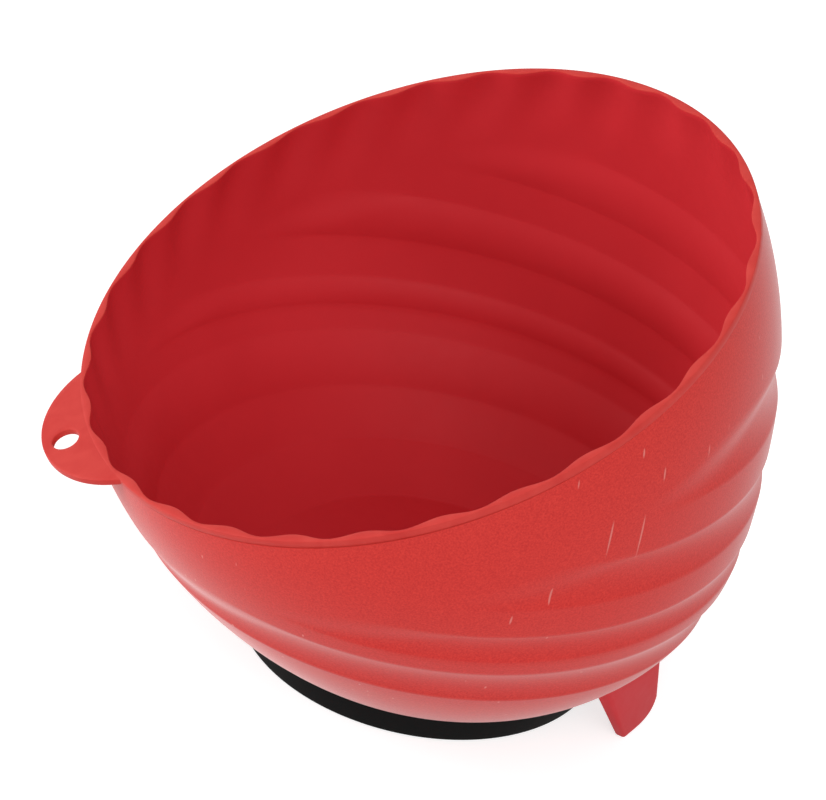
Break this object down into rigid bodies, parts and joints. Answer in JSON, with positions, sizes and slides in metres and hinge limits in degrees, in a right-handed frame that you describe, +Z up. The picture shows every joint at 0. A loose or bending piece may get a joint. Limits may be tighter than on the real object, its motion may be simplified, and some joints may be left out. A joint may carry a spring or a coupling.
{
  "type": "magnetic parts tray",
  "caption": "Round plastic bowl with a slanted rim, stepped ring walls, inside flutes and a hanging tab, on a flat magnet base that holds it and loose screws to steel.",
  "frame": {"origin": "centre of the magnet base's lower face", "axes": "+Z up along the base's axis, +X towards the bowl's high side, -X towards the low side with the tab"},
  "size_m": [0.1578, 0.153, 0.1253],
  "materials": {
    "red_plastic": "satin moulded polypropylene",
    "black_rubber": "matte",
    "ferrite": "dull sintered ferrite",
    "zinc_steel": "zinc plated"
  },
  "bodies": {
    "root": {"bowl": "red_plastic", "magnet_cover": "black_rubber", "ring_magnet": "ferrite", "pole_plate": "zinc_steel", "center_screw": "zinc_steel", "screw_washer": "zinc_steel", "lock_nut": "zinc_steel"}
  },
  "joints": []
}
